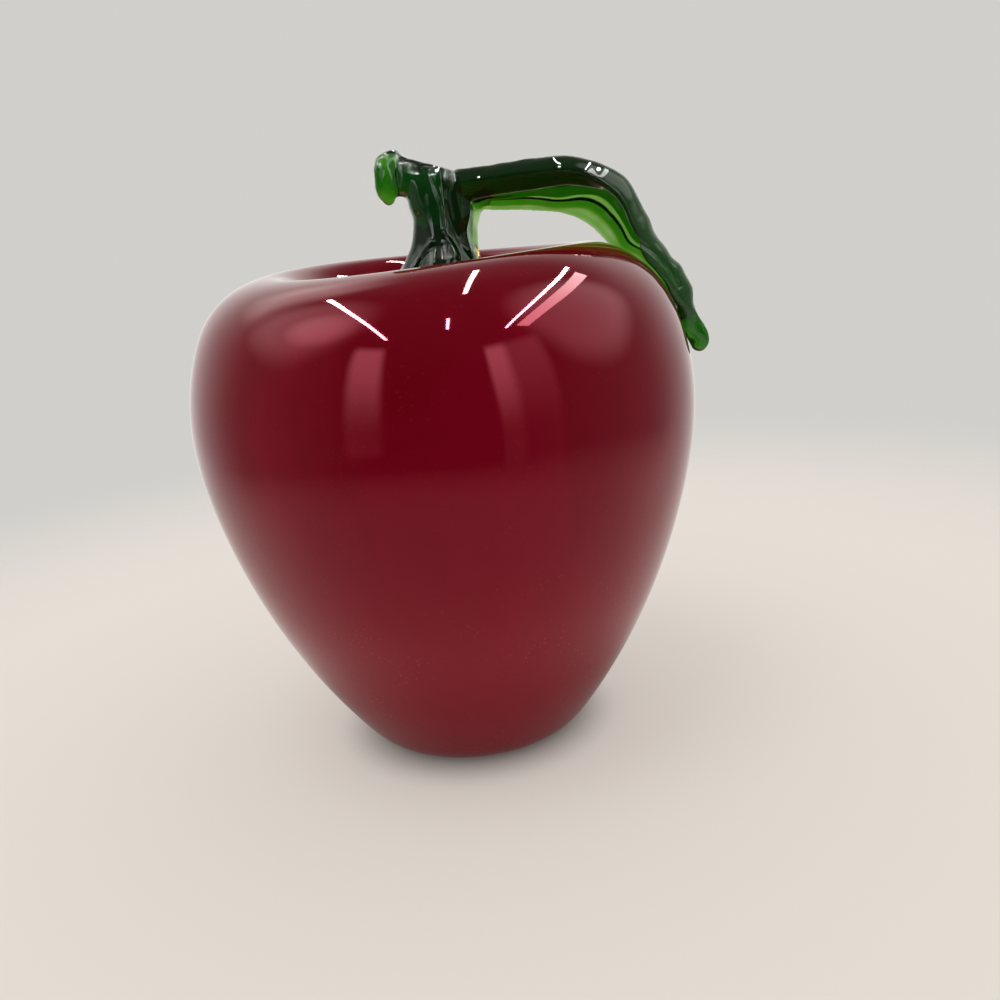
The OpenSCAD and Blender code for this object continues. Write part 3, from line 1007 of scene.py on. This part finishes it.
on_post = ease(z, LEDGE_Z + 1, BODY_H) * (1 - ease(x, 12.0, 20.0))
drawn_up = 0.22 * unevenness(co * [1.0, 1.0, 0.3], 2.4, 3.1)
push += on_post * (drawn_up + 0.2 * unevenness(co, 5.0, 7.7))
push += ease(-x, 4.5, 7.0) * 0.4 * unevenness(co, 3.2, 4.4)
drawn_along = 0.03 * unevenness(co * [0.4, 1.0, 1.0], 1.6, 9.4)
push += ease(x, 12.0, 20.0) * (0.09 * unevenness(co, 3.4, 5.3) + drawn_along)
print("marks push from", round(push.min(), 2), "to", round(push.max(), 2), "mm")

co += outwards * push[:, None]
co[:, 0] = np.minimum(co[:, 0], cad_box[1][0] / MM - 0.05)
lump.data.vertices.foreach_set("co", (co * MM).ravel())
lump.data.update()

# %% Part the lump along the crease
HAIR = 0.02  # millimetres: half the gap along the crease
SHARP_ABOVE = math.radians(50)


def prism(name, corners, y0, y1):
    """A block with the given outline in x and z."""
    n = len(corners)
    points = [(x * MM, y * MM, z * MM) for y in (y0, y1) for x, z in corners]
    faces = [tuple(range(n)), tuple(range(2 * n - 1, n - 1, -1))]
    faces += [(k, (k + 1) % n, n + (k + 1) % n, n + k)[::-1] for k in range(n)]
    mesh = bpy.data.meshes.new(name)
    mesh.from_pydata(points, [], faces)
    if volume(mesh) < 0:
        mesh.flip_normals()
    made = bpy.data.objects.new(name, mesh)
    bpy.context.collection.objects.link(made)
    return made


def parted(whole, name, operation, shift, material):
    """The part of a lump inside or outside a block that takes in the whole leaf."""
    x, z = SEAM_X + shift, LEDGE_Z + shift
    past_foot, past_tip, above, below, half_depth = 25, 90, 170, 80, 40
    corners = [(x, z), (x, above), (past_tip, above), (past_tip, below)]
    corners += [(past_foot, below), (past_foot, z)]
    block = prism("parting_block", corners, -half_depth, half_depth)
    cut = whole.modifiers.new("part", "BOOLEAN")
    cut.operation, cut.solver, cut.object = operation, "EXACT", block
    piece = plain_copy(whole, name)
    whole.modifiers.remove(cut)
    bpy.data.objects.remove(block)
    piece.data.materials.clear()
    piece.data.materials.append(material)
    count = len(piece.data.polygons)
    piece.data.polygons.foreach_set("material_index", np.zeros(count, dtype=np.int32))
    piece.data.shade_smooth()
    piece.data.set_sharp_from_angle(angle=SHARP_ABOVE)
    print(name + ":", count, "faces,", round(volume(piece.data) / 1000, 2), "ml")
    return piece


stem = parted(lump, "green_stem", "DIFFERENCE", -HAIR, stem_glass)
leaf = parted(lump, "green_leaf", "INTERSECT", HAIR, leaf_glass)
bpy.data.objects.remove(lump)

# %% [markdown]
# ## Studio
#
# The apple stands on a plain pale floor that fades into an even, pale surround. Glass shows its
# room, so the room matters, and it is painted by direction. Gloss sees a dim front, a bright back,
# soft round patches over both shoulders and two tall soft windows at the front corners. Overhead
# hang four short tubes and a soft band, whose streaks lie on the front of the shoulder. Light that
# comes through the green glass sees a surround that is brighter at front and back than at the
# sides. The floor gives off a little light of its own, except under the apple, because the shadow
# in the photograph is light.

# %% Floor
FLOOR_R = 0.45
FLOOR_COLOUR = (0.37, 0.345, 0.32, 1.0)
FLOOR_GLOW = (0.36, 0.335, 0.311, 1.0)
NO_GLOW = (0.0, 0.0, 0.0, 1.0)
GLOW_SETS_IN = (0.024, 0.042)  # metres from the axis
FLOOR_FADES = (0.17, 0.42)  # metres from the axis

floor_board = Board("pale_floor")
sideways, deep, _ = floor_board.parts(floor_board.place)
distance = floor_board.math("SQRT", sideways * sideways + deep * deep)
mirrored = Value(floor_board, floor_board.node("ShaderNodeLightPath").outputs["Is Glossy Ray"])
seen_distance = distance * (1 - mirrored * 0.45)  # in the glass the shadow reaches farther
# the floor's glow is painted light; held back near the axis, it paints the shadow round the base
lit = 0.15 + seen_distance.over(*GLOW_SETS_IN) * 0.85
glow = floor_board.mix(lit, NO_GLOW, FLOOR_GLOW)
plain = floor_board.node(
    "ShaderNodeBsdfPrincipled",
    Base_Color=FLOOR_COLOUR,
    Roughness=0.9,
    IOR=1.3,
    Emission_Color=glow,
    Emission_Strength=1.0,
)
clear = floor_board.node("ShaderNodeBsdfTransparent")
both = {"i1": plain.outputs[0], "i2": clear.outputs[0]}
fade = floor_board.node("ShaderNodeMixShader", i0=distance.over(*FLOOR_FADES), **both)
pale = floor_board.finish(fade)

ring = [(FLOOR_R * cos(a), FLOOR_R * sin(a), 0.0) for a in range(0, 360, 5)]
floor_mesh = bpy.data.meshes.new("floor")
floor_mesh.from_pydata(ring, [], [tuple(range(len(ring)))])
floor_mesh.materials.append(pale)
floor = bpy.data.objects.new("floor", floor_mesh)
bpy.context.collection.objects.link(floor)
floor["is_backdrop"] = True

# %% Surround
ROOM_COLOUR = (1.0, 0.985, 0.945, 1.0)
BACKDROP = 0.635  # brightness that the camera sees
PATCHES = (  # direction, cosines between which the soft edge lies, brightness
    ((-0.66, 0.0, 0.75), (0.87, 0.98), 1.4),
    ((-0.62, -0.13, 0.77), (0.95, 1.0), 2.2),
    ((0.76, -0.07, 0.65), (0.86, 0.96), 1.5),
)

world = bpy.data.worlds.new("pale_room")
world.use_nodes = True
bpy.context.scene.world = world
room = Nodes(world.node_tree)
room.tree.nodes.clear()
toward_x, toward_y, toward_z = room.parts(room.node("ShaderNodeTexCoord").outputs["Generated"])

behind = toward_y.over(0.1, 0.9) * (1 - toward_z.over(0.45, 0.8) * 0.85)
behind_left = (0 - toward_x).over(0.05, 0.3) * toward_y.over(0.35, 0.6)
behind_left = behind_left * toward_z.over(0.45, 0.62) * (1 - toward_z.over(0.78, 0.88))
sides = room.math("ABSOLUTE", toward_x).over(0.45, 0.95)
overhead = toward_z.over(0.2, 0.95)
gloss = 0.02 + behind * 0.95 + behind_left * 1.3
gloss = gloss + (1 - behind) * (sides * 0.3 + overhead * 0.12)
for (x, y, z), edge, brightness in PATCHES:
    gloss = gloss + (toward_x * x + toward_y * y + toward_z * z).over(*edge) * brightness

# two tall soft windows at the front corners, brighter towards their tops; the right one is half
# drawn
slant = toward_x / room.math("MAXIMUM", 0 - toward_y, 0.05)
in_front = (0 - toward_y).over(0.05, 0.15)
left_window = (1 - slant.over(-0.6, -0.48)) * slant.over(-1.05, -0.85)
left_window = left_window * (1 - toward_z.over(0.6, 0.68)) * toward_z.over(-0.2, -0.1)
left_window = left_window * (toward_z.over(0.0, 0.6) * 3.0 + 0.3)
half_drawn = 1 - slant.over(0.55, 0.7) * 0.72
right_window = slant.over(0.38, 0.45) * half_drawn * (1 - slant.over(1.05, 1.3))
right_window = right_window * (1 - toward_z.over(0.54, 0.62)) * toward_z.over(-0.36, -0.25)
right_window = right_window * (toward_z.over(-0.1, 0.6) * 3.4 + 0.3)
gloss = gloss + in_front * (left_window + right_window)

path = room.node("ShaderNodeLightPath").outputs
kinds = ("Camera", "Transmission", "Glossy")
camera_ray, through, glossy = (Value(room, path[f"Is {kind} Ray"]) for kind in kinds)
through = through * (1 - camera_ray)
bright_ends = 0.26 + room.math("ABSOLUTE", toward_y).over(0.3, 0.75) * 0.375
scattering = (1 - camera_ray - through).clipped()
level = camera_ray * BACKDROP + through * bright_ends
level = level + scattering * (glossy * gloss + (1 - glossy))
shine = room.node("ShaderNodeBackground", Color=ROOM_COLOUR, Strength=level)
room.node("ShaderNodeOutputWorld", Surface=shine.outputs[0])
print("room:", len(room.tree.nodes), "nodes")

# %% Lamps


def lamp(name, at, to, wide, long, brightness, colour=(1.0, 0.98, 0.95)):
    """A flat lamp of a given brightness, where 1 is as bright as white paper."""
    light = bpy.data.lights.new(name, "AREA")
    light.shape = "RECTANGLE"
    light.size, light.size_y = wide, long
    light.energy = brightness * math.pi * wide * long
    light.color = colour
    made = bpy.data.objects.new(name, light)
    made.location = at
    made.rotation_mode = "QUATERNION"
    made.rotation_quaternion = (Vector(to) - Vector(at)).to_track_quat("-Z", "Y")
    made.visible_camera = False
    made.visible_transmission = False
    bpy.context.collection.objects.link(made)
    return made


CEILING = 1.5
TUBES = {  # x, the two ends in y and the width in metres, and the brightness
    "tube_left": (-0.64, -1.17, 0.64, 0.045, 80.0),
    "tube_middle": (0.2, 0.0, 0.95, 0.03, 80.0),
    "tube_front": (0.115, -1.08, -0.7, 0.03, 80.0),
    "tube_right": (0.88, -1.13, 1.03, 0.045, 80.0),
    "soft_band": (1.11, -1.05, 0.9, 0.2, 9.0),
}
KEY_AT, KEY_TO, KEY_SIZE, KEY_BRIGHTNESS = (-0.5, -0.5, 2.2), (0.0, 0.0, 0.07), 0.9, 3.4

for name, (x, y0, y1, wide, brightness) in TUBES.items():
    y = (y0 + y1) / 2
    lamp(name, (x, y, CEILING), (x, y, 0.0), wide, y1 - y0, brightness).visible_diffuse = False
key = lamp("key_box", KEY_AT, KEY_TO, KEY_SIZE, KEY_SIZE, KEY_BRIGHTNESS)
key.visible_glossy = False
bpy.context.scene.view_settings.view_transform = "Standard"

# %% [markdown]
# ## Hand over
#
# Every piece rides on the one rigid body, and the solids that it stands for are hidden.

# %% Hand over
bpy.data.objects.remove(outline_object)
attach(body, "root")
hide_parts("clear_casing", "red_layer", "inner_bubble")
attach(stem, "root")
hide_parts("stem")
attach(leaf, "root")
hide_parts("leaf")

visual_box = [list(map(float, corner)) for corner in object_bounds()]
print("visual box in mm:", [[round(v / MM, 2) for v in corner] for corner in visual_box])
